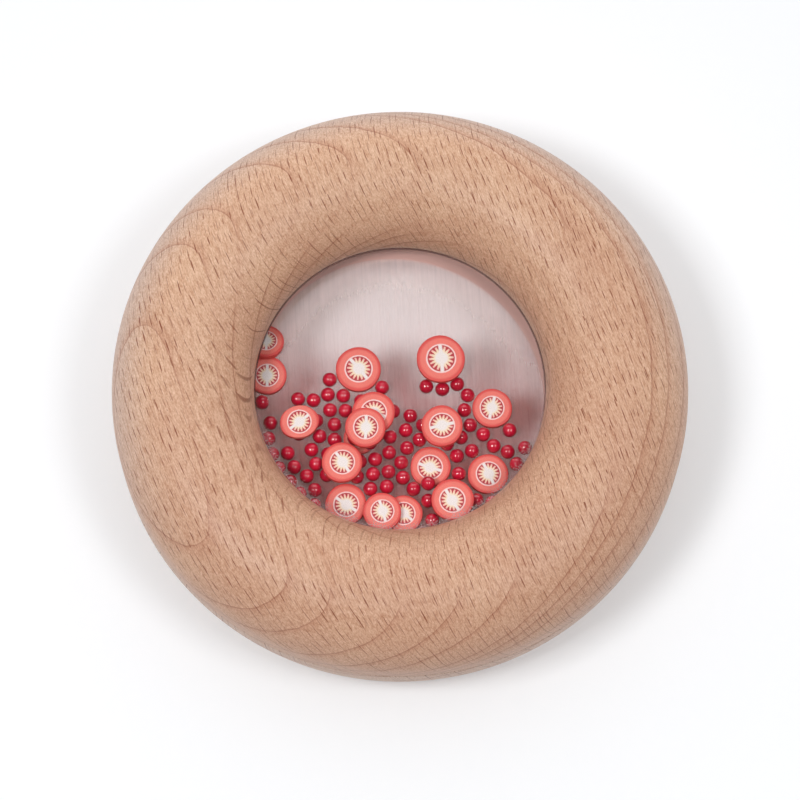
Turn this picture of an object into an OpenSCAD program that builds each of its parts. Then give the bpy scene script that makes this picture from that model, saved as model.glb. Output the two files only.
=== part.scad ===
// Round wooden rattle: a beech ring in two glued halves holds a flat clear capsule in its opening,
// and loose beads and clay slices rattle inside the capsule.
// The ring lies flat on its back face, with the origin at the centre of that face and +Z towards its front.

/* [Ring] */
// Outer diameter of the wooden ring
ring_d = 100; // [92:1:112]
// Thickness of the ring from its back face to its front face
ring_t = 31; // [28:0.5:36]
// Diameter of the opening in front of each window
opening_d = 50.5; // [48:0.5:53]
// Radius of the rounding on the ring's edges
edge_r = 12; // [8:0.5:12]

/* [Capsule] */
// Thickness of each clear window
window_t = 1.4; // [1:0.1:2]
// Inner diameter of the space between the windows
cavity_d = 58; // [58:0.5:60]
// Height of the space between the windows
cavity_h = 5.8; // [5.4:0.1:7]
// Thickness of the clear wall round that space
wall_t = 1.2; // [0.8:0.1:1.6]
// Room for glue between the capsule and its seat in the wood, on the radius
glue_gap = 0.1; // [0.05:0.05:0.2]

/* [Filling] */
// Diameter of a bead
bead_d = 2.6; // [2.2:0.1:2.6]
// Thickness of a slice
slice_t = 1.2; // [0.9:0.1:1.3]
// Bevel round the cut edges of a slice
slice_bevel = 0.2; // [0.1:0.05:0.4]
// Least air between two loose pieces, or between a loose piece and a window
air = 0.05; // [0.03:0.01:0.06]

/* [Hidden] */
$fn = 96;
ring_r = ring_d / 2;
opening_r = opening_d / 2;
section_w = ring_r - opening_r;
round_r = min(edge_r, section_w / 2, ring_t / 2);
side_h = ring_t - 2 * round_r;
mid_z = ring_t / 2;
capsule_h = cavity_h + 2 * window_t;
cavity_r = cavity_d / 2;
capsule_r = cavity_r + wall_t;
seat_r = capsule_r + glue_gap;
cavity_z = mid_z - cavity_h / 2;
// Overshoot of a cutting shape
over = 1;

bead_r = bead_d / 2;
// How far the heap of loose pieces has slid towards the empty side of the capsule
heap_slide = 0.4;
// Height of a loose piece's under face: on the back window, on slices that lie there,
// on beads that lie there, and on a slice that lies on beads
rest_z = [
    cavity_z + air,
    cavity_z + slice_t + 2 * air,
    cavity_z + bead_d + 2 * air,
    cavity_z + bead_d + slice_t + 3 * air
];

// Each slice: place across, place along, diameter, and which of the heights above it rests at
slices = [
    [-23.4, 9.1, 6.2, 0],
    [-23.2, 3.4, 6.8, 0],
    [-7.3, 4.5, 8.0, 0],
    [7.1, 5.65, 8.5, 2],
    [16.1, -2.55, 7.0, 0],
    [-17.5, -5.65, 6.9, 2],
    [-4.6, -4.0, 7.5, 2],
    [-6.0, -6.95, 7.1, 3],
    [7.3, -6.4, 7.3, 2],
    [-10.05, -12.9, 7.1, 2],
    [5.3, -13.1, 7.2, 0],
    [15.3, -14.35, 7.1, 0],
    [-9.4, -19.75, 7.3, 0],
    [-3.1, -21.35, 6.7, 1],
    [0.6, -21.5, 6.7, 0],
    [9.1, -19.55, 7.4, 2],
    [-7.1, -8.0, 5.6, 0]
];
// The first slice leans on the edge of the second one: distance of their centres, and from its foot to that edge
lean_centres = norm([slices[0][0] - slices[1][0], slices[0][1] - slices[1][1]]);
lean_reach = lean_centres + (slices[0][2] - slices[1][2]) / 2;
lean_angle = atan((slice_t + 2 * air) / lean_reach);
// Beads on the back window: left of the heap, its middle, its right
floor_beads = [
    [-24.1, -1.6], [-17.8, -1.0], [-15.1, -1.2], [-12.6, -0.2], [-12.3, 2.5], [-9.9, -0.4],
    [-12.2, -3.0], [-9.5, -3.1], [-11.4, -5.6], [-11.4, -8.3], [-14.6, -4.9], [-14.0, -7.7],
    [-17.6, -7.2], [-19.4, -4.6], [-22.6, -5.3], [-22.9, -8.1], [-22.2, -10.9], [-19.5, -10.7],
    [-15.4, -10.1], [-12.5, -10.9], [-14.6, -12.65], [-12.7, -14.6], [-16.2, -14.8], [-18.4, -13.2],
    [-21.1, -13.4], [-19.1, -15.8], [-14.8, -17.3], [-17.4, -17.9], [-14.9, -20.0],

    [-3.1, 1.1], [-6.8, -1.4], [-1.2, -3.2], [-4.6, -4.4], [1.8, -4.0], [1.0, -6.6],
    [-1.75, -7.8], [1.2, -9.8], [-1.9, -10.6], [0.2, -12.4], [-4.3, -11.8], [-7.0, -12.2],
    [-4.7, -14.45], [-2.0, -14.05], [-7.5, -14.9], [0.5, -15.1], [-2.3, -16.7], [-5.15, -17.1],
    [2.35, -17.1], [4.9, -19.2], [5.6, -22.7], [8.2, -9.05], [4.0, -5.7], [3.4, -8.3], [8.0, -4.4],

    [4.6, 1.3], [7.4, 0.8], [10.0, 1.7], [11.8, -0.3], [11.2, -3.0], [12.2, -5.7],
    [10.6, -7.9], [14.5, -7.35], [16.3, -9.4], [18.75, -10.45], [19.1, -6.6], [21.75, -9.75],
    [20.3, -12.65], [12.5, -10.3], [9.9, -11.2], [10.2, -14.4], [13.3, -19.15], [16.0, -19.6],
    [7.1, 8.2], [5.1, 4.75], [9.1, 4.75], [9.1, -17.3], [7.3, -20.4], [10.9, -20.3]
];
// Beads on top of slices that lie on the back window
perched_beads = [[4.9, -16.4], [-7.9, -8.3], [-5.2, -9.1]];

// Half of the ring's section above the glue line, with the seat for the capsule cut out of its inner side
module half_section() {
    difference() {
        union() {
            translate([opening_r + round_r, side_h / 2]) circle(r = round_r);
            translate([ring_r - round_r, side_h / 2]) circle(r = round_r);
            translate([opening_r, 0]) square([section_w, side_h / 2]);
            translate([opening_r + round_r, 0]) square([section_w - 2 * round_r, ring_t / 2]);
        }
        translate([0, -ring_t]) square([ring_r + over, ring_t]);
        translate([0, -over]) square([seat_r, capsule_h / 2 + over]);
    }
}

module ring_half() {
    rotate_extrude() half_section();
}

module ring_front() {
    color("burlywood") translate([0, 0, mid_z]) ring_half();
}

module ring_back() {
    color("tan") translate([0, 0, mid_z]) mirror([0, 0, 1]) ring_half();
}

module window(z) {
    color("lightcyan", 0.4) translate([0, 0, z]) cylinder(h = window_t, r = capsule_r);
}

module back_window() {
    window(cavity_z - window_t);
}

module front_window() {
    window(cavity_z + cavity_h);
}

// Clear band that keeps the two windows apart
module capsule_wall() {
    color("lightcyan", 0.4)
        translate([0, 0, cavity_z])
            difference() {
                cylinder(h = cavity_h, r = capsule_r);
                translate([0, 0, -over]) cylinder(h = cavity_h + 2 * over, r = cavity_r);
            }
}

// Disc cut off a round cane of clay, bevelled on both faces. A tilt lifts its near edge off the back window
module slice(number, tilt = 0) {
    place = slices[number - 1];
    r = place[2] / 2;
    color("tomato")
        translate([place[0], place[1] + heap_slide, rest_z[place[3]] + r * sin(tilt)])
            rotate([-tilt, 0, 0])
                rotate_extrude()
                    polygon([
                        [0, 0], [r - slice_bevel, 0], [r, slice_bevel],
                        [r, slice_t - slice_bevel], [r - slice_bevel, slice_t], [0, slice_t]
                    ]);
}

module bead(p, rest) {
    translate([p[0], p[1] + heap_slide, rest_z[rest] + bead_r]) sphere(r = bead_r, $fn = 32);
}

// All the beads, each a separate ball
module beads() {
    color("crimson") {
        for (p = floor_beads) bead(p, 0);
        for (p = perched_beads) bead(p, 1);
    }
}

ring_back();
ring_front();
back_window();
capsule_wall();
front_window();
beads();
slice(1, lean_angle);  // slice_01
slice(2);  // slice_02
slice(3);  // slice_03
slice(4);  // slice_04
slice(5);  // slice_05
slice(6);  // slice_06
slice(7);  // slice_07
slice(8);  // slice_08
slice(9);  // slice_09
slice(10);  // slice_10
slice(11);  // slice_11
slice(12);  // slice_12
slice(13);  // slice_13
slice(14);  // slice_14
slice(15);  // slice_15
slice(16);  // slice_16
slice(17);  // slice_17
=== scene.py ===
"""Looks of the ring rattle: turned beech ring, clear capsule, beads and clay slices, on a pale floor."""

import math
import random

import bmesh
import bpy
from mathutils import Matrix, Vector, noise


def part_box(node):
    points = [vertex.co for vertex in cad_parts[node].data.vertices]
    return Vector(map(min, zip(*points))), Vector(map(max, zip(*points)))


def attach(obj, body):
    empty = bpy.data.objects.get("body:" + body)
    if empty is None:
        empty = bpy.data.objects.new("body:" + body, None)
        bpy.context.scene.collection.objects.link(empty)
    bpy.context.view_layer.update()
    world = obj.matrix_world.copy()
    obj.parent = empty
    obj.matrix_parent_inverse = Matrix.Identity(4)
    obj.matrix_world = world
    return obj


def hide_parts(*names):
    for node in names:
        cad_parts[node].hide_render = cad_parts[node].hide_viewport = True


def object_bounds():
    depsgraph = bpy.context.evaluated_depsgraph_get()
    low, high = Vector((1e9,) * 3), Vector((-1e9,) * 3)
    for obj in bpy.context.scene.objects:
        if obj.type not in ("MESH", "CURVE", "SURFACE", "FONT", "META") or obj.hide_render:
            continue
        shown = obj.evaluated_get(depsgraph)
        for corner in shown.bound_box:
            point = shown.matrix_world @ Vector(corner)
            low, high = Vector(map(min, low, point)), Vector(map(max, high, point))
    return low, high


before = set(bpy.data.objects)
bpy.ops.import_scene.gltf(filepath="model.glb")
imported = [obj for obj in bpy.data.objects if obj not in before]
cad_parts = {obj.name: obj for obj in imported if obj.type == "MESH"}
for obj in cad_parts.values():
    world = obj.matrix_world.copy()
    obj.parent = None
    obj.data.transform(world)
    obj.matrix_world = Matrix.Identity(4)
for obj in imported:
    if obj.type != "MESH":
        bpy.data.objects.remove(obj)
cad_low, cad_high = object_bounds()

MM = 0.001
WHITE = (1.0, 1.0, 1.0, 1.0)

# Camera of the photograph
VIEW_TILT = math.radians(14.55)
VIEW_DISTANCE = 0.7
VIEW_LENS = 180.6
VIEW_SENSOR = 36.0
VIEW_DROP = 1.03 * MM

# Fineness of the meshes
RING_SEGMENTS = 256
ARC_STEPS = 28
SLICE_SEGMENTS = 72
BEAD_SUBDIVISIONS = 3

# Eased edges of the wood and the panes
LIP_EASE = 0.3 * MM
SEAM_EASE = 0.2 * MM
PANE_EASE = 0.15 * MM
# Air between a pane and what it is glued to
GLUE_FILM = 0.02 * MM
# Distance at which two points count as one
WELD = 1e-6
# Edges that bend more than this stay sharp
SHARP_ANGLE = math.radians(50)


def srgb(red, green, blue):
    """Colour given as 0 to 255 on the screen, as the shader's linear colour."""
    def linear(value):
        value /= 255
        return value / 12.92 if value <= 0.04045 else ((value + 0.055) / 1.055) ** 2.4
    return linear(red), linear(green), linear(blue), 1.0


class Graph:
    """Nodes of a material or world under construction. Each call adds one, and most return an output."""

    def __init__(self, owner):
        self.owner = owner
        owner.use_nodes = True
        self.tree = owner.node_tree
        self.tree.nodes.clear()

    def node(self, kind, inputs=None, **settings):
        node = self.tree.nodes.new("ShaderNode" + kind)
        for key, value in settings.items():
            setattr(node, key, value)
        for key, value in (inputs or {}).items():
            if isinstance(value, bpy.types.NodeSocket):
                self.tree.links.new(value, node.inputs[key])
            else:
                node.inputs[key].default_value = value
        return node

    def math(self, operation, *values):
        """One step of arithmetic."""
        return self.node("Math", dict(enumerate(values)), operation=operation).outputs[0]

    def add(self, a, b):
        return self.math("ADD", a, b)

    def sub(self, a, b):
        return self.math("SUBTRACT", a, b)

    def mul(self, a, b):
        return self.math("MULTIPLY", a, b)

    def div(self, a, b):
        return self.math("DIVIDE", a, b)

    def vector(self, x, y, z):
        return self.node("CombineXYZ", {0: x, 1: y, 2: z}).outputs[0]

    def parts(self, vector):
        return self.node("SeparateXYZ", {0: vector}).outputs

    def dot(self, vector, direction):
        node = self.node("VectorMath", {0: vector, 1: direction}, operation="DOT_PRODUCT")
        return node.outputs["Value"]

    def length(self, vector):
        return self.node("VectorMath", {0: vector}, operation="LENGTH").outputs["Value"]

    def scaled(self, vector, scale):
        return self.node("VectorMath", {0: vector, "Scale": scale}, operation="SCALE").outputs[0]

    def object_mm(self):
        """Place on the piece, in millimetres."""
        return self.scaled(self.node("TexCoord").outputs["Object"], 1 / MM)

    def waves(self, place, lengths):
        """A place in units of a wave that has its own length on each axis."""
        return self.vector(*(self.div(along, length) for along, length in zip(place, lengths)))

    def noise(self, vector, detail=2.0, roughness=0.5):
        """Smooth noise about 0, with a wave of about 1 unit of the vector."""
        inputs = {"Vector": vector, "Scale": 1.0, "Detail": detail, "Roughness": roughness}
        return self.sub(self.node("TexNoise", inputs).outputs["Fac"], 0.5)

    def step(self, value, low, high, to_low=0.0, to_high=1.0):
        """Smooth step of value, from to_low at low to to_high at high."""
        inputs = {"Value": value, "From Min": low, "From Max": high, "To Min": to_low, "To Max": to_high}
        return self.node("MapRange", inputs, interpolation_type="SMOOTHSTEP").outputs[0]

    def mix(self, factor, a, b, blend="MIX"):
        """Mix of two colours, on the sockets that the node has for colours."""
        inputs = {0: factor, 6: a, 7: b}
        return self.node("Mix", inputs, data_type="RGBA", blend_type=blend).outputs[2]

    def tone(self, colour, change, shares=(1.0, 1.0, 1.0)):
        """The colour, lighter or darker by a change over the surface, in each channel's share."""
        gains = [self.add(1.0, self.mul(change, share)) for share in shares]
        return self.mix(1.0, colour, self.vector(*gains), "MULTIPLY")

    def bump(self, height, distance, strength=1.0):
        inputs = {"Height": height, "Distance": distance, "Strength": strength}
        return self.node("Bump", inputs).outputs[0]

    def principled(self, inputs):
        return self.node("BsdfPrincipled", inputs).outputs[0]

    def finish(self, shader):
        self.node("OutputMaterial", {"Surface": shader})
        return self.owner


def material_graph(name):
    return Graph(bpy.data.materials.new(name))


def new_piece(name, mesh, material):
    """Adds a mesh as a smooth piece with its material."""
    mesh.materials.append(material)
    mesh.shade_smooth()
    mesh.set_sharp_from_angle(angle=SHARP_ANGLE)
    piece = bpy.data.objects.new(name, mesh)
    bpy.context.scene.collection.objects.link(piece)
    return piece


def mesh_of(name, verts, faces):
    """Mesh of a closed form, with its faces turned outwards."""
    mesh = bpy.data.meshes.new(name)
    mesh.from_pydata(verts, [], faces)
    shape = bmesh.new()
    shape.from_mesh(mesh)
    bmesh.ops.recalc_face_normals(shape, faces=shape.faces)
    shape.to_mesh(mesh)
    shape.free()
    return mesh


def lathe(name, outline, segments):
    """Closed outline of (radius, height) turned round the ring's axis. A point at radius 0 is a pole."""
    verts = []
    rows = []
    for radius, height in outline:
        if radius == 0:
            rows.append([len(verts)] * segments)
            verts.append((0.0, 0.0, height))
            continue
        rows.append(list(range(len(verts), len(verts) + segments)))
        for i in range(segments):
            angle = 2 * math.pi * i / segments
            verts.append((radius * math.cos(angle), radius * math.sin(angle), height))
    faces = []
    for row, after in zip(rows, rows[1:] + rows[:1]):
        for i in range(segments):
            j = (i + 1) % segments
            corners = list(dict.fromkeys((row[i], row[j], after[j], after[i])))
            if len(corners) > 2:
                faces.append(corners)
    return mesh_of(name, verts, faces)


def arc(centre, radius, start, end, steps):
    """Points on a circle, from one angle to another in degrees."""
    points = []
    for i in range(steps + 1):
        angle = math.radians(start + (end - start) * i / steps)
        points.append((centre[0] + radius * math.cos(angle), centre[1] + radius * math.sin(angle)))
    return points


# Measures of the ring, read off the frame
def radius_and_height(node):
    """(Distance from the ring's axis, height) of each corner of a CAD node."""
    return [(math.hypot(v.co.x, v.co.y), v.co.z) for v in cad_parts[node].data.vertices]


ring_points = radius_and_height("ring_front")
front_z = max(z for r, z in ring_points)
mid_z = min(z for r, z in ring_points)
outer_r = max(r for r, z in ring_points)
crest = [r for r, z in ring_points if z > front_z - WELD]
crest_in = min(crest)
crest_out = max(crest)
round_r = outer_r - crest_out
opening_r = crest_in - round_r
seat_r = min(r for r, z in ring_points if z < mid_z + WELD)
capsule_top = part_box("front_window")[1].z
pane_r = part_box("front_window")[1].x
front_pane_z = sum(corner.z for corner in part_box("front_window")) / 2
back_pane_z = sum(corner.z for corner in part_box("back_window")) / 2
cavity_r = min(r for r, z in radius_and_height("capsule_wall"))


def ring_outline():
    """Half of the ring's section above the glue line, as (radius, height above the glue line)."""
    arc_h = front_z - mid_z - round_r
    lip_h = capsule_top - mid_z
    lip_angle = 180 - math.degrees(math.asin((lip_h + LIP_EASE - arc_h) / round_r))
    outline = [(seat_r, 0.0), (seat_r, lip_h), (opening_r + 2 * LIP_EASE, lip_h)]
    outline += [
        (opening_r + 0.7 * LIP_EASE, lip_h + 0.15 * LIP_EASE),
        (opening_r + 0.25 * LIP_EASE, lip_h + 0.5 * LIP_EASE),
    ]
    outline += arc((crest_in, arc_h), round_r, lip_angle, 90, ARC_STEPS)
    outline += arc((crest_out, arc_h), round_r, 90, 0, ARC_STEPS)
    outline += [
        (outer_r, 2.5 * SEAM_EASE),
        (outer_r - 0.3 * SEAM_EASE, 0.6 * SEAM_EASE),
        (outer_r - SEAM_EASE, 0.0),
    ]
    return outline


# Beech: growth layers are shells round a far pith, and rays stand square to them
FLECK_DARK = srgb(122, 50, 16)
BEECH_LIGHT = srgb(216, 174, 145)
BEECH_PINK = srgb(206, 161, 134)
BEECH_RED = srgb(186, 132, 106)
BEECH_LINE = srgb(158, 100, 76)
# Pale grey of the painted sheen on the outward slopes towards +Y
BEECH_SHEEN_GREY = srgb(208, 182, 168)
# Share of the grain's change that red, green and blue take: a dark fibre is redder than a light one
GRAIN_SHARES = (0.8, 1.28, 1.58)
# Ray flecks, in millimetres: pitch across and along the grain, least and most half-length, and mean
# half-width
COARSE_FLECKS = ((1.35, 3.0), (1.1, 1.95), 0.112)
FINE_FLECKS = ((0.85, 2.4), (0.7, 1.3), 0.085)
# Strength of the fine flecks beside the coarse ones, and the shift of their grid
FINE_SHARE = 0.45
FINE_SHIFT = 31.7
# How freely the flecks leave their grid, and how far out from the pith each of them runs
FLECK_SPREAD = 0.6
FLECK_DEPTH = 60.0
# Least and most width of a fleck, over the mean
FLECK_WIDTHS = (0.7, 1.3)
# Waves of the wood's noises on three axes, in millimetres
SLOW_WAVE = (22.0, 60.0, 22.0)
SWAY_WAVE = (4.0, 9.0, 6.0)
BREAK_WAVE = (5.0, 5.0, 1.0)
FIBRE_WAVE = (0.24, 2.6, 0.4)
SPECK_WAVE = (0.17, 0.45, 0.25)
PATCH_WAVE = (9.0, 26.0, 9.0)
# Length over which the wood turns from light to pink, and drift of the rays sideways along the grain
DRIFT_LENGTH = 200.0
SPIRAL = 0.09
# How strongly each of these marks the wood
FIBRE_TONE = 0.9
SPECK_TONE = 0.72
# Share of the painted sheen
PAINTED_SHEEN_SHARE = 0.6
LATE_SHARE = 0.4
LINE_SHARE = 0.62
FLECK_SHARE = 0.9
WOOD_RELIEF = 0.03 * MM
# Width of the dark line that ends a growth layer, and of the late wood before it
LINE_EDGE = (0.36, 0.08)
LATE_EDGE = (1.0, 0.0)
# Distance along the growth layers for one radian round the pith
BOW_RADIUS = 130.0
# Radii of the growth layers round the pith
FRONT_LAYERS = (111.2, 115.3, 118.9, 120.9, 122.5, 126.4, 129.5, 133.2, 138.2, 141.4, 146.6, 151.5)
BACK_LAYERS = tuple(131.0 + 4.3 * i for i in range(10))
# Distance that stands for no layer further out
NO_LAYER = 100.0
# The board of each half: lean of its grain from +Y, rise of its grain, place of its pith as (across,
# height) in millimetres, its growth layers, and the shift of its pattern along the grain
FRONT_BOARD = {
    "lean": math.radians(15.5),
    "rise": -0.008,
    "pith": (44.0, -91.0),
    "layers": FRONT_LAYERS,
    "shift": 0.0,
}
BACK_BOARD = {
    "lean": math.radians(-7.0),
    "rise": 0.02,
    "pith": (-30.0, 150.0),
    "layers": BACK_LAYERS,
    "shift": 87.0,
}


def ray_flecks(g, place, kind, shift):
    """Short dark dashes, one to a cell of the place (across, along, deep): up to 1 on them, 0 beside."""
    pitch, half_length, half_width = kind
    across, along, depth = place
    cell_x = g.add(g.div(across, pitch[0]), shift)
    cell = g.vector(cell_x, g.div(along, pitch[1]), g.div(depth, FLECK_DEPTH))
    voronoi = g.node("TexVoronoi", {"Vector": cell, "Scale": 1.0, "Randomness": FLECK_SPREAD})
    middle = voronoi.outputs["Position"]
    off = g.parts(g.node("VectorMath", {0: cell, 1: middle}, operation="SUBTRACT").outputs[0])
    chance = g.parts(voronoi.outputs["Color"])
    reach = g.step(chance[0], 0.0, 1.0, *half_length)
    width = g.step(chance[1], 0.0, 1.0, *(half_width * share for share in FLECK_WIDTHS))
    side = g.math("ABSOLUTE", g.div(g.mul(off[0], pitch[0]), width))
    end = g.div(g.mul(off[1], pitch[1]), reach)
    spindle = g.add(side, g.mul(end, end))
    return g.mul(g.step(spindle, 1.0, 0.35), g.step(chance[2], 0.0, 0.8, 0.45, 1.0))


def next_layer(g, depth, layers):
    """Distance out from a place to the nearest layer boundary beyond it."""
    nearest = NO_LAYER
    for boundary in layers:
        gap = g.sub(boundary, depth)
        passed = g.mul(g.math("LESS_THAN", gap, 0.0), NO_LAYER)
        nearest = g.math("MINIMUM", nearest, g.add(gap, passed))
    return nearest


def beech_material(name, lean, rise, pith, layers, shift):
    """Beech cut near the tangent of its growth layers, off one board."""
    g = material_graph(name)

    # Place in the tree: along the grain, round the pith and out from it
    place = g.object_mm()
    grain_way = (-math.sin(lean), math.cos(lean), 0.0)
    cross_way = (math.cos(lean), math.sin(lean), 0.0)
    along = g.add(g.dot(place, grain_way), shift)
    across = g.dot(place, cross_way)
    height = g.sub(g.parts(place)[2], g.mul(along, rise))
    pith_x = g.sub(across, pith[0])
    pith_z = g.sub(height, pith[1])
    pith_r = g.length(g.vector(pith_x, 0.0, pith_z))
    bow = g.mul(g.math("ARCTAN2", pith_x, pith_z), BOW_RADIUS)

    # How the surface cuts the layers: along them or across them, and where its end grain begins
    normal = g.node("TexCoord").outputs["Normal"]
    facing = g.add(g.mul(g.dot(normal, cross_way), pith_x), g.mul(g.parts(normal)[2], pith_z))
    facing = g.div(facing, pith_r)
    slant = g.math("SQRT", g.math("MAXIMUM", g.sub(1.0, g.mul(facing, facing)), 0.01))
    x, y, _ = g.parts(place)
    outward = g.node("VectorMath", {0: g.vector(x, y, 0.0)}, operation="NORMALIZE").outputs[0]
    steep = g.sub(g.dot(normal, outward), g.step(g.sub(x, y), 0.0, 45.0, 0.0, 0.28))
    end_on = g.math("MAXIMUM", g.step(steep, -0.12, 0.1), g.step(slant, 0.80, 0.93))

    # Growth lines, broken here and there, and the late wood before each
    slow = g.noise(g.waves((bow, along, pith_r), SLOW_WAVE))
    sway = g.noise(g.waves((bow, along, pith_r), SWAY_WAVE))
    layer = g.add(pith_r, g.add(g.mul(slow, 0.8), g.mul(sway, 0.45)))
    to_line = next_layer(g, layer, layers)
    line = g.mul(g.step(g.div(to_line, slant), *LINE_EDGE), end_on)
    late = g.mul(g.step(to_line, *LATE_EDGE), g.step(end_on, 0.0, 1.0, 0.45, 1.0))
    broken = g.noise(g.waves((along, bow, pith_r), BREAK_WAVE))
    line = g.mul(line, g.step(broken, -0.25, 0.2, 0.45, 1.0))

    # Rays and fibre
    ray_x = g.add(g.add(bow, g.mul(along, SPIRAL)), g.add(g.mul(sway, 0.5), g.mul(slow, 2.0)))
    ray_y = g.sub(along, g.mul(bow, SPIRAL))
    rays = (ray_x, ray_y, pith_r)
    coarse = ray_flecks(g, rays, COARSE_FLECKS, shift)
    fine = ray_flecks(g, rays, FINE_FLECKS, shift + FINE_SHIFT)
    fleck = g.math("MAXIMUM", coarse, g.mul(fine, FINE_SHARE))
    fleck = g.mul(fleck, g.step(slant, 0.3, 0.8, 1.0, 0.68))
    fibre = g.noise(g.waves(rays, FIBRE_WAVE), detail=3.0, roughness=0.6)
    speck = g.noise(g.waves(rays, SPECK_WAVE), detail=1.0)
    patch = g.noise(g.waves(rays, PATCH_WAVE), detail=3.0)

    # Colour and relief
    drift = g.sub(patch, g.div(along, DRIFT_LENGTH))
    colour = g.mix(g.step(drift, -0.3, 0.3), BEECH_LIGHT, BEECH_PINK)
    # Painted sheen: the outward slopes towards +Y turn pale grey
    painted_sheen = g.mul(g.step(g.dot(normal, outward), 0.3, 0.9), g.step(along, -25.0, 15.0))
    colour = g.mix(g.mul(painted_sheen, PAINTED_SHEEN_SHARE), colour, BEECH_SHEEN_GREY)
    colour = g.mix(g.mul(late, LATE_SHARE), colour, BEECH_RED)
    grain = g.add(g.mul(fibre, FIBRE_TONE), g.mul(speck, SPECK_TONE))
    colour = g.tone(colour, grain, GRAIN_SHARES)
    colour = g.mix(g.mul(line, LINE_SHARE), colour, BEECH_LINE)
    colour = g.mix(g.mul(fleck, FLECK_SHARE), colour, FLECK_DARK)
    relief = g.sub(g.mul(fibre, 0.5), fleck)
    relief = g.sub(relief, g.mul(line, 0.3))
    return g.finish(g.principled({
        "Base Color": colour,
        "Roughness": g.add(0.4, g.mul(fibre, 0.2)),
        "Normal": g.bump(relief, WOOD_RELIEF, 0.6),
        "Specular IOR Level": 0.24,
    }))


# Clear plastic of the capsule
CLEAR_TINT = srgb(254, 249, 248)
FILM_WHITE = srgb(238, 218, 217)
FILM_PINK = srgb(246, 228, 228)
# Reddish colour of the painted shade under the heap
FILM_HEAP_SHADE = srgb(184, 58, 60)
# Dark glue line under the upper lip, partly painted contact shadow
GLUE_AND_SHADOW_BROWN = srgb(92, 58, 50)
# Pale glue on the ledge, partly painted glow in the shade under the lip
GLUE_AND_GLOW_PINK = srgb(234, 190, 181)
# Drawn streaks of the back pane: waves in millimetres, lean from the Y axis, least and most share
STREAK_WAVE = (0.55, 16.0, 1.0)
STREAK_LEAN = 0.06
STREAK_SHARES = (0.12, 0.29)
# Painted reddish shade under the heap: the Y where it begins and where it is full, and its share
HEAP_EDGE = (17.0, -3.0)
HEAP_SHADE_SHARE = 0.17
# Most that the rim's painted light, the ledge's pale glue and the dark glue line with its painted shadow
# hide
RIM_LIGHT_SHARE = 0.4
LEDGE_SHARE = 0.75
JOINT_AND_SHADOW_SHARE = 0.85
# Dried glue along the lower lip: size of a speck, most that the specks and their haze hide, width of the
# fillet, and the wave of its edge
SPECK_SIZE = 0.21
SPECK_SHARE = 0.45
HAZE_SHARE = 0.06
FILLET_WIDTH = 4.2
FILLET_WAVE = 3.0


def clear_material(name, film_of):
    """Clear plastic that lets lamps through, under a dull film whose share and colour film_of gives."""
    g = material_graph(name)
    glass = g.principled({
        "Base Color": CLEAR_TINT,
        "Roughness": 0.02,
        "IOR": 1.49,
        "Transmission Weight": 1.0,
    })
    share, colour = film_of(g)
    film = g.principled({"Base Color": colour, "Roughness": 0.6})
    shader = g.node("MixShader", {0: share, 1: glass, 2: film}).outputs[0]
    path = g.node("LightPath")
    for ray in ("Is Shadow Ray", "Is Reflection Ray"):
        through = g.node("BsdfTransparent").outputs[0]
        shader = g.node("MixShader", {0: path.outputs[ray], 1: shader, 2: through}).outputs[0]
    return g.finish(shader)


def drawn_film(g):
    """Faint streaks, as drawn sheet has, a painted reddish shade under the heap, a pale rim of painted
    light, and glue on the ledge made pale as painted glow.
    """
    x, y, z = g.parts(g.object_mm())
    x = g.add(x, g.mul(y, STREAK_LEAN))
    streak = g.noise(g.waves((x, y, z), STREAK_WAVE), detail=4.0, roughness=0.65)
    radius = g.length(g.vector(x, y, 0.0))
    lip = opening_r / MM
    # Glue on the ledge, made pale partly as painted glow in the lip's shade
    ledge = g.step(radius, lip - 0.05, lip + 0.15, 0.0, 0.7)
    ledge = g.add(ledge, g.step(radius, lip - 0.5, lip - 0.1, 0.0, 0.3))
    inner = g.math("GREATER_THAN", z, back_pane_z / MM)
    # Painted reddish shade under the heap of beads and slices
    heap = g.step(y, *HEAP_EDGE)
    streak = g.add(g.step(streak, -0.28, 0.3, *STREAK_SHARES), g.mul(heap, HEAP_SHADE_SHARE))
    # Painted light: a pale film along the upper rim lightens the shade there
    rim = g.mul(g.step(radius, lip - 6.5, lip - 0.5, 0.0, RIM_LIGHT_SHARE), g.step(y, 2.0, 16.0))
    streak = g.mul(g.add(streak, rim), inner)
    film_and_heap_shade = g.mix(heap, FILM_PINK, FILM_HEAP_SHADE)
    share = g.math("MAXIMUM", streak, g.mul(ledge, LEDGE_SHARE))
    return share, g.mix(ledge, film_and_heap_shade, GLUE_AND_GLOW_PINK)


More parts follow.
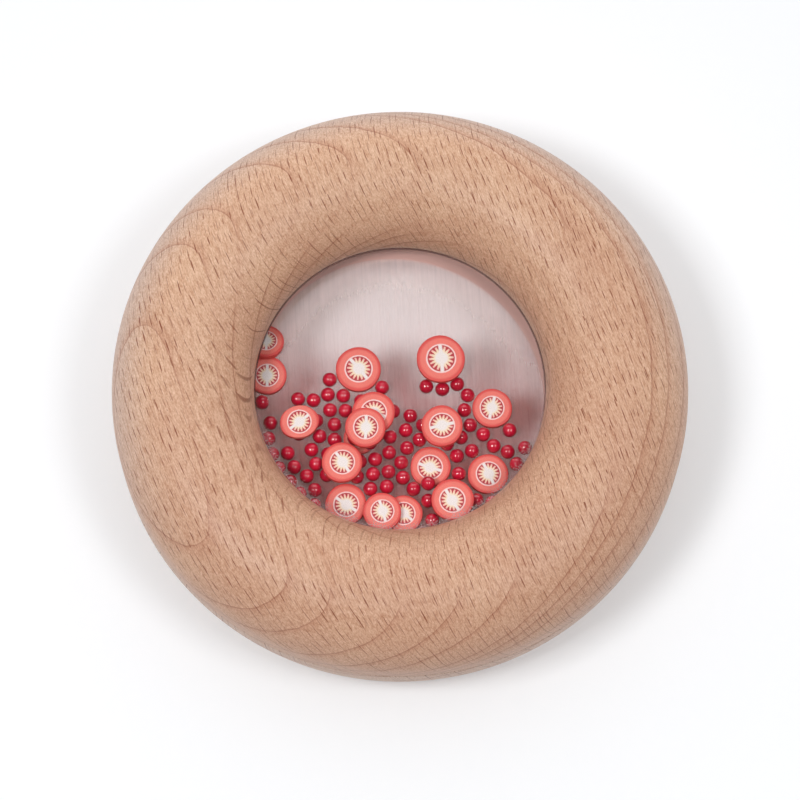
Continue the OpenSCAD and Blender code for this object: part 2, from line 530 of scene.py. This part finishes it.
def glued_film(g):
    """A speckled fillet of dried glue along the lower lip, and a dark glue line under the upper one,
    also painted contact shadow.
    """
    x, y, z = g.parts(g.object_mm())
    radius = g.length(g.vector(x, y, 0.0))
    lip = opening_r / MM
    lower = g.step(y, 3.0, -10.0)
    wander = g.noise(g.vector(g.div(x, FILLET_WAVE), g.div(y, FILLET_WAVE), 2.0))
    band = g.step(g.add(radius, g.mul(wander, FILLET_WAVE)), lip - FILLET_WIDTH, lip + 0.3)
    band = g.mul(band, lower)
    grain = g.noise(g.vector(g.div(x, SPECK_SIZE), g.div(y, SPECK_SIZE), 0.0), detail=2.0)
    speckle = g.step(g.sub(grain, g.step(band, 0.0, 1.0, 0.36, 0.0)), 0.0, 0.06)
    haze = g.mul(g.step(radius, lip - 1.2, lip), g.mul(lower, HAZE_SHARE))
    haze = g.add(g.mul(speckle, SPECK_SHARE), haze)
    # Dark glue line that also paints the upper lip's contact shadow
    joint_and_shadow = g.mul(g.step(radius, lip - 0.32, lip - 0.08), g.step(y, -12.0, 4.0))
    inner = g.math("LESS_THAN", z, front_pane_z / MM)
    share = g.add(g.mul(haze, inner), g.mul(g.sub(1.0, inner), g.mul(joint_and_shadow, JOINT_AND_SHADOW_SHARE)))
    return share, g.mix(inner, GLUE_AND_SHADOW_BROWN, FILM_WHITE)


def plain_film(g):
    """A thin even film."""
    return g.step(g.noise(g.object_mm()), -0.3, 0.3, 0.14, 0.26), FILM_WHITE


# Clay slices: a cane pattern of a cut fruit, in the slice's own plane
CLAY_CORE = srgb(245, 240, 238)
CLAY_PETAL = srgb(250, 230, 198)
CLAY_PETAL_TIP = srgb(250, 196, 184)
CLAY_SEED = srgb(192, 54, 64)
CLAY_RING = srgb(255, 222, 220)
CLAY_FLESH = srgb(244, 127, 115)
# Darker edge: partly the clay's own rim, partly painted shade of the rounded edge
CLAY_EDGE_AND_SHADE = srgb(228, 80, 76)
SEEDS_ROUND = 16
# Soft edges between the parts of the cane, from and to, as shares of the slice's radius
CORE_END = (0.20, 0.33)
SEED_START = (0.27, 0.36)
SEED_TAPER = (0.27, 0.52)
TIP_START = (0.32, 0.48)
SEED_END = (0.485, 0.53)
RING_START = (0.545, 0.575)
RING_END = (0.60, 0.64)
EDGE_START = (0.80, 0.93)
# Half-width of a seed at the ends of its taper, as a share of the way from seed to seed
SEED_WIDTHS = (0.08, 0.31)
# Soft edge of the pale gap across the seeds, as a share of the slice's radius
GAP_EDGE = (0.11, 0.05)
CLAY_RELIEF = 0.02 * MM


def clay_material():
    """Section of a clay cane: core, petals between seeds, pale ring, flesh and a darker edge, partly
    painted shade.
    """
    g = material_graph("coral_clay")
    u, v, _ = g.parts(g.node("TexCoord").outputs["UV"])
    blur = g.noise(g.vector(g.mul(u, 7.0), g.mul(v, 7.0), 0.0))
    radius = g.add(g.length(g.vector(u, v, 0.0)), g.mul(blur, 0.03))
    angle = g.math("ARCTAN2", v, u)
    turn = g.math("FRACT", g.add(g.mul(angle, SEEDS_ROUND / (2 * math.pi)), g.mul(blur, 0.2)))
    from_seed = g.math("ABSOLUTE", g.sub(turn, 0.5))
    seed_width = g.step(radius, *SEED_TAPER, *SEED_WIDTHS)
    seed = g.step(g.sub(from_seed, seed_width), 0.06, -0.06)
    seed = g.mul(seed, g.step(radius, *SEED_START))
    seed = g.math("MAXIMUM", seed, g.step(radius, *SEED_END))
    gap = g.step(g.math("ABSOLUTE", v), *GAP_EDGE)
    seed = g.mul(seed, g.sub(1.0, gap))

    petal = g.mix(g.step(radius, *TIP_START), CLAY_PETAL, CLAY_PETAL_TIP)
    petal = g.mix(gap, petal, CLAY_CORE)
    inner = g.mix(g.step(radius, *CORE_END), CLAY_CORE, petal)
    inner = g.mix(seed, inner, CLAY_SEED)
    fleck = g.noise(g.vector(g.mul(u, 3.0), g.mul(v, 3.0), 4.0), detail=3.0)
    flesh = g.tone(CLAY_FLESH, g.mul(fleck, 0.16))
    # Darker edge, partly painted shade of the rounded edge
    rind = g.mix(g.step(radius, *EDGE_START), flesh, CLAY_EDGE_AND_SHADE)
    rind = g.mix(g.step(radius, *RING_END), CLAY_RING, rind)
    colour = g.mix(g.step(radius, *RING_START), inner, rind)

    grain = g.noise(g.vector(g.mul(u, 26.0), g.mul(v, 26.0), 1.0), detail=3.0)
    return g.finish(g.principled({
        "Base Color": colour,
        "Roughness": g.add(0.5, g.mul(grain, 0.2)),
        "Normal": g.bump(grain, CLAY_RELIEF, 0.1),
        "IOR": 1.48,
    }))


# Slices that are oval: (short side over long side, turn of the long side in degrees)
OVAL = {"slice_06": (0.84, 12)}
NEARLY_ROUND = 0.99
# Waves in a slice's hand-cut outline: how many go round, their least and most size, and how far the
# outline draws in for them
CUT_COUNTS = (2, 3, 5)
CUT_WAVES = (0.003, 0.008)
CUT_SLACK = 0.3
# Most that a slice's pattern lies off its centre
OFF_CENTRE = 0.05
# Most that a slice leans from lying flat
MOST_LEAN = math.radians(20)
# Half of a slice's section as (share of its radius, share of half its height): face, rounded edge, side
FACE_ROWS = ((0.35, 1.0), (0.7, 1.0), (0.86, 0.995))
EDGE_TURNS = (0.2, 0.6, 1.0, 1.35)
EDGE_WIDTH = 0.08
EDGE_HEIGHT = 0.24
SIDE_ROWS = ((1.0, 0.4), (1.0, 0.0))
SLICE_SEED = 7
# Turn of each slice's pattern, in degrees from +X to the pale gap between its seeds
PATTERN_TURN = (90, 90, 130, 95, 77, 38, 159, 88, 13, 124, 162, 116, 146, 106, 141, 122, 60)


def slice_place(node):
    """Centre, axis, radius and half the height of a slice of the frame, which may lean."""
    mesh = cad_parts[node].data
    axis = Vector()
    for polygon in mesh.polygons:
        if polygon.normal.z > math.cos(MOST_LEAN):
            axis += polygon.area * polygon.normal
    axis.normalize()
    centre = sum(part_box(node), Vector()) / 2
    offsets = [v.co - centre for v in mesh.vertices]
    half_height = max(offset.dot(axis) for offset in offsets)
    radius = max((offset - offset.dot(axis) * axis).length for offset in offsets)
    return centre, axis, radius, half_height


def turned(x, y, angle):
    """A point of a plane, turned about its origin."""
    return x * math.cos(angle) - y * math.sin(angle), x * math.sin(angle) + y * math.cos(angle)


def cut_outline(name, chance):
    """Hand-cut outline of a slice of radius 1, and its short side over its long side."""
    squeeze, turn = OVAL.get(name, (NEARLY_ROUND, chance.uniform(0, 180)))
    turn = math.radians(turn)
    waves = [(k, chance.uniform(*CUT_WAVES), chance.uniform(0, 2 * math.pi)) for k in CUT_COUNTS]
    slack = 1 - CUT_SLACK * sum(size for k, size, start in waves)
    rim = []
    for i in range(SLICE_SEGMENTS):
        angle = 2 * math.pi * i / SLICE_SEGMENTS
        reach = slack + sum(size * math.sin(k * angle + start) for k, size, start in waves)
        along = reach * math.cos(angle - turn)
        aside = squeeze * reach * math.sin(angle - turn)
        rim.append(turned(along, aside, turn))
    return rim, squeeze


def slice_section():
    """Loops of a slice from face to face, as (share of its radius, share of half its height)."""
    rows = list(FACE_ROWS)
    for turn in EDGE_TURNS:
        share = 1 - EDGE_WIDTH + EDGE_WIDTH * math.sin(turn)
        level = 1 - EDGE_HEIGHT + EDGE_HEIGHT * math.cos(turn)
        rows.append((share, level))
    rows += SIDE_ROWS
    rows += [(share, -level) for share, level in reversed(rows[:-1])]
    return rows


def slice_mesh(name, radius, half_height, pattern_turn, chance):
    """Disc off a clay cane: rounded edges, a hand-cut outline, and its place in the cane as UV."""
    rim, squeeze = cut_outline(name, chance)
    rows = slice_section()
    verts = [(0.0, 0.0, half_height)]
    for share, level in rows:
        verts += [(radius * share * x, radius * share * y, half_height * level) for x, y in rim]
    verts.append((0.0, 0.0, -half_height))
    faces = []
    last = len(verts) - 1
    for i in range(SLICE_SEGMENTS):
        j = (i + 1) % SLICE_SEGMENTS
        faces.append((0, 1 + i, 1 + j))
        for k in range(len(rows) - 1):
            a = 1 + k * SLICE_SEGMENTS
            b = a + SLICE_SEGMENTS
            faces.append((a + i, b + i, b + j, a + j))
        a = last - SLICE_SEGMENTS
        faces.append((a + j, a + i, last))
    mesh = mesh_of(name, verts, faces)
    spin = -math.radians(pattern_turn)
    shift_u = chance.uniform(-OFF_CENTRE, OFF_CENTRE)
    shift_v = chance.uniform(-OFF_CENTRE, OFF_CENTRE)
    layer = mesh.uv_layers.new(name="section")
    for loop in mesh.loops:
        x, y, _ = mesh.vertices[loop.vertex_index].co / radius
        fade = max(0.0, 1 - math.hypot(x, y) / squeeze)
        layer.data[loop.index].uv = turned(x + shift_u * fade, y + shift_v * fade, spin)
    return mesh


# Beads: glossy balls, a little uneven in colour and form, with painted shade on their under sides
BEAD_LIGHT = srgb(214, 4, 54)
BEAD_DARK = srgb(192, 2, 47)
BEAD_PAINTED_SHADE = srgb(156, 0, 32)
# Waves of the colour in a millimetre: from bead to bead, and over a bead
BATCH_SCALE = 0.35
FILM_SCALE = 2.5
# Mean dent of a bead as a share of its radius, waves of the dents, and their shift from bead to bead
BEAD_DENT = 0.008
DENT_SCALE = 1.3
DENT_SHIFT = 3.1


def bead_material():
    """Red under a clear coat, with painted shade on the under side, and a little uneven from bead to
    bead.
    """
    g = material_graph("red_bead")
    place = g.object_mm()
    batch = g.noise(g.scaled(place, BATCH_SCALE), detail=0.0)
    film = g.noise(g.scaled(place, FILM_SCALE), detail=2.0)
    colour = g.mix(g.step(batch, -0.25, 0.25), BEAD_LIGHT, BEAD_DARK)
    # Painted shade: darker towards the under side of each ball
    upper = g.step(g.parts(g.node("TexCoord").outputs["Normal"])[2], -0.1, 0.9)
    colour = g.mix(upper, BEAD_PAINTED_SHADE, colour)
    colour = g.tone(colour, g.mul(film, 0.2))
    return g.finish(g.principled({
        "Base Color": colour,
        "Roughness": g.add(0.3, g.mul(film, 0.1)),
        "Specular IOR Level": 0.3,
        "Coat Weight": 1.0,
        "Coat Roughness": 0.035,
        "Coat IOR": 1.8,
    }))


def bead_places():
    """(centre, radius) of each ball of the CAD node, whose corners are welded by place."""
    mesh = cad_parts["beads"].data
    keys = [tuple(round(c / WELD) for c in v.co) for v in mesh.vertices]
    group = {key: key for key in keys}

    def root(key):
        while group[key] != key:
            group[key] = group[group[key]]
            key = group[key]
        return key

    for polygon in mesh.polygons:
        first = root(keys[polygon.vertices[0]])
        for index in polygon.vertices[1:]:
            group[root(keys[index])] = first
    balls = {}
    for key, vert in zip(keys, mesh.vertices):
        balls.setdefault(root(key), []).append(vert.co)
    places = []
    for points in balls.values():
        low = Vector(min(p[i] for p in points) for i in range(3))
        high = Vector(max(p[i] for p in points) for i in range(3))
        places.append(((low + high) / 2, max(high - low) / 2))
    return sorted(places, key=lambda place: tuple(place[0]))


def bead_mesh():
    """All the beads: smooth balls, each a little out of true."""
    ball = bmesh.new()
    bmesh.ops.create_icosphere(ball, subdivisions=BEAD_SUBDIVISIONS, radius=1.0)
    unit = [v.co.copy() for v in ball.verts]
    corners = [[v.index for v in f.verts] for f in ball.faces]
    ball.free()
    verts = []
    faces = []
    for number, (centre, radius) in enumerate(bead_places()):
        start = len(verts)
        for way in unit:
            bump = noise.noise(DENT_SCALE * way + Vector((number * DENT_SHIFT, 0, 0)))
            dent = BEAD_DENT * (1 + bump)
            verts.append(centre + way * (radius * (1 - dent)))
        faces += [[start + index for index in face] for face in corners]
    return mesh_of("bead_fill", verts, faces)


# Build the pieces on their bodies
def build_ring():
    halves = (
        ("wood_front", "ring_front", 1, beech_material("beech_front", **FRONT_BOARD)),
        ("wood_back", "ring_back", -1, beech_material("beech_back", **BACK_BOARD)),
    )
    for name, node, side, material in halves:
        outline = [(radius, mid_z + side * height) for radius, height in ring_outline()]
        piece = new_piece(name, lathe(name, outline, RING_SEGMENTS), material)
        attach(piece, "ring")
        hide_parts(node)


def eased_disc(low, high, radius):
    """Outline of a round pane with its rim eased and a loop inside the rim that keeps its faces flat."""
    flat = radius - 4 * PANE_EASE
    return [
        (0.0, low), (flat, low), (radius - PANE_EASE, low), (radius, low + PANE_EASE),
        (radius, high - PANE_EASE), (radius - PANE_EASE, high), (flat, high), (0.0, high),
    ]


def build_capsule():
    panes = (("front_pane", "front_window", glued_film), ("back_pane", "back_window", drawn_film))
    for name, node, film in panes:
        low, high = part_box(node)
        outline = eased_disc(low.z + GLUE_FILM, high.z - GLUE_FILM, pane_r)
        mesh = lathe(name, outline, RING_SEGMENTS)
        piece = new_piece(name, mesh, clear_material(name, film))
        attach(piece, "ring")
        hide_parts(node)
    low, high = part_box("capsule_wall")
    outline = [
        (cavity_r, low.z), (pane_r - PANE_EASE, low.z), (pane_r, low.z + PANE_EASE),
        (pane_r, high.z - PANE_EASE), (pane_r - PANE_EASE, high.z), (cavity_r, high.z),
    ]
    mesh = lathe("capsule_band", outline, RING_SEGMENTS)
    band = new_piece("capsule_band", mesh, clear_material("clear_band", plain_film))
    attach(band, "ring")
    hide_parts("capsule_wall")


def build_filling():
    beads = new_piece("bead_fill", bead_mesh(), bead_material())
    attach(beads, "beads")
    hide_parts("beads")
    clay = clay_material()
    chance = random.Random(SLICE_SEED)
    slices = sorted(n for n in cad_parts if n.startswith("slice_"))
    for node, pattern_turn in zip(slices, PATTERN_TURN):
        centre, axis, radius, half_height = slice_place(node)
        mesh = slice_mesh(node, radius, half_height, pattern_turn, chance)
        piece = new_piece("clay_" + node, mesh, clay)
        piece.location = centre
        piece.rotation_mode = "QUATERNION"
        piece.rotation_quaternion = Vector((0.0, 0.0, 1.0)).rotation_difference(axis)
        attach(piece, node)
        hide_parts(node)


# Stage
FLOOR_HALF = 3.0
FLOOR_PALE = srgb(250, 252, 255)
# Mottle of the floor: waves in a millimetre, and how much they lighten or darken it
MOTTLE_SCALE = 0.5
MOTTLE_TONE = 0.01
# Share of plain white in the floor as it is seen outside the ring, and where it sets in under the ring,
# as a share of the ring's radius
FLOOR_WHITE = 0.2
WHITE_START = 0.8


def build_floor():
    g = material_graph("pale_floor")
    place = g.object_mm()
    mottle = g.noise(g.scaled(place, MOTTLE_SCALE))
    colour = g.tone(FLOOR_PALE, g.mul(mottle, MOTTLE_TONE))
    lit = g.principled({"Base Color": colour, "Roughness": 0.8, "Specular IOR Level": 0.1})
    white = g.node("Emission", {"Color": WHITE, "Strength": 1.0}).outputs[0]
    path = g.node("LightPath").outputs
    seen = g.math("MAXIMUM", path["Is Camera Ray"], path["Is Glossy Ray"])
    seen = g.math("MAXIMUM", seen, path["Is Transmission Ray"])
    x, y, _ = g.parts(place)
    from_axis = g.length(g.vector(x, y, 0.0))
    share = g.step(from_axis, WHITE_START * outer_r / MM, outer_r / MM, 0.0, FLOOR_WHITE)
    material = g.finish(g.node("MixShader", {0: g.mul(seen, share), 1: lit, 2: white}).outputs[0])
    corners = ((-1, -1), (1, -1), (1, 1), (-1, 1))
    verts = [(FLOOR_HALF * x, FLOOR_HALF * y, cad_low.z) for x, y in corners]
    mesh = mesh_of("floor", verts, [(0, 1, 2, 3)])
    mesh.materials.append(material)
    floor = bpy.data.objects.new("floor", mesh)
    bpy.context.scene.collection.objects.link(floor)


# Each lamp: name, direction from the ring, side in metres, power in watts
LAMPS = (
    ("softbox_left", (-0.40, -0.17, 0.90), 0.26, 4.25),
    ("softbox_right", (0.40, -0.17, 0.90), 0.26, 2.35),
)
# Light of the studio's sky: level at the horizon, rise to the zenith and how narrow that is, and rise
# towards its bright side
SKY_LEVEL = 0.25
SKY_RISE = 0.8
SKY_FOCUS = 6.0
SKY_SIDE = (0.03, 0.5, 0.0)
# The studio as it is seen, directly, mirrored or through the windows: a white wall all round, with a
# bright end towards +Y, under a dark ceiling
CEILING = 0.05
WALL = 1.0
END_WALL = 2.2
# Soft edges from the wall up to the ceiling, and along it to the bright end
WALL_EDGE = (0.2, 0.45)
END_EDGE = (0.45, 0.95)


def build_light():
    centre = (cad_low + cad_high) / 2
    for name, way, size, power in LAMPS:
        lamp = bpy.data.lights.new(name, "AREA")
        lamp.shape = "SQUARE"
        lamp.size = size
        lamp.energy = power
        stand = bpy.data.objects.new(name, lamp)
        way = Vector(way).normalized()
        stand.location = centre + way
        stand.rotation_mode = "QUATERNION"
        stand.rotation_quaternion = way.to_track_quat("Z", "Y")
        bpy.context.scene.collection.objects.link(stand)
    world = bpy.data.worlds.new("studio")
    bpy.context.scene.world = world
    g = Graph(world)
    way = g.node("TexCoord").outputs["Generated"]
    rise = g.math("POWER", g.math("MAXIMUM", g.parts(way)[2], 0.0), SKY_FOCUS)
    sky = g.add(g.add(SKY_LEVEL, g.mul(rise, SKY_RISE)), g.dot(way, SKY_SIDE))
    sky = g.math("MAXIMUM", sky, 0.0)
    path = g.node("LightPath").outputs
    seen = g.math("MAXIMUM", path["Is Camera Ray"], path["Is Glossy Ray"])
    seen = g.math("MAXIMUM", seen, path["Is Transmission Ray"])
    wall = g.step(g.parts(way)[2], *WALL_EDGE, WALL, CEILING)
    end_wall = g.step(g.parts(way)[1], *END_EDGE, CEILING, END_WALL)
    studio = g.math("MAXIMUM", wall, end_wall)
    sky = g.math("MULTIPLY_ADD", seen, g.sub(studio, sky), sky)
    background = g.node("Background", {"Color": WHITE, "Strength": sky}).outputs[0]
    g.node("OutputWorld", {"Surface": background})


def build_camera():
    data = bpy.data.cameras.new("camera")
    data.sensor_width = VIEW_SENSOR
    data.lens = VIEW_LENS
    camera = bpy.data.objects.new("camera", data)
    middle = Vector((0.0, 0.0, mid_z))
    back = Vector((0.0, -math.sin(VIEW_TILT), math.cos(VIEW_TILT)))
    camera.location = middle + VIEW_DISTANCE * back
    aim = middle - Vector((0.0, VIEW_DROP, 0.0))
    camera.rotation_mode = "QUATERNION"
    camera.rotation_quaternion = (aim - camera.location).to_track_quat("-Z", "Y")
    bpy.context.scene.collection.objects.link(camera)
    bpy.context.scene.camera = camera


build_ring()
build_capsule()
build_filling()
build_floor()
build_light()
build_camera()
bpy.context.scene.view_settings.view_transform = "Standard"
